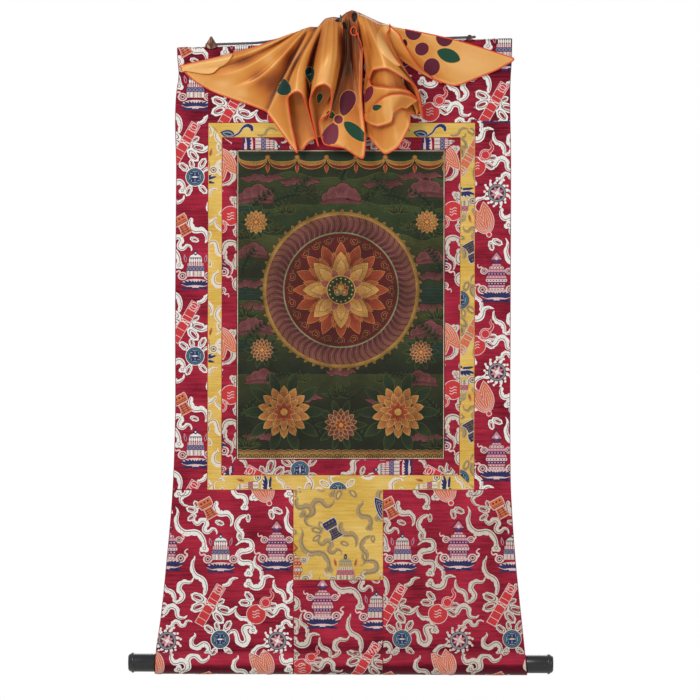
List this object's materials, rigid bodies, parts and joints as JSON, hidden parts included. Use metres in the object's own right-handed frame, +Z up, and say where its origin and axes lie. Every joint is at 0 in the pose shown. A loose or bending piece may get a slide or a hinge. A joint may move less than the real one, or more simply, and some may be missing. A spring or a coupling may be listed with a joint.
{
  "type": "thangka scroll painting with brocade mount, batten, roller and gathered veil",
  "caption": "Hanging scroll painting in a red and yellow silk brocade mount, with a black roller, a dark hanging cord and an orange silk veil gathered at the top.",
  "frame": {"origin": "point under the top of the hanging cord, where a nail holds it", "axes": "+Z up, the painted face looks to -Y, +X to the viewer's right"},
  "size_m": [0.6382, 0.0807, 0.9982],
  "materials": {
    "crimson_brocade": "silk brocade, satin ground",
    "yellow_brocade": "silk brocade, satin ground",
    "painted_canvas": "matt painted cotton",
    "orange_silk": "thin satin silk",
    "black_lacquer": "satin black lacquer",
    "dark_cord": "matt braided cord",
    "brown_brocade": "woven brocade"
  },
  "bodies": {
    "root": {"left_strip": "crimson_brocade", "right_strip": "crimson_brocade", "top_panel": "crimson_brocade", "yellow_border_top": "yellow_brocade", "yellow_border_right": "yellow_brocade", "yellow_border_bottom": "yellow_brocade", "yellow_border_left": "yellow_brocade", "red_border_top": "crimson_brocade", "red_border_right": "crimson_brocade", "red_border_bottom": "crimson_brocade", "red_border_left": "crimson_brocade", "painting": "painted_canvas", "door_panel": "yellow_brocade", "lower_left_panel": "crimson_brocade", "lower_middle_panel": "crimson_brocade", "lower_right_panel": "crimson_brocade", "roller_rod": "black_lacquer", "left_knob": "black_lacquer", "right_knob": "black_lacquer", "top_batten": "black_lacquer", "left_loop": "brown_brocade", "right_loop": "brown_brocade", "hanging_cord": "dark_cord", "veil": "orange_silk", "gather_tie": "dark_cord"}
  },
  "joints": []
}
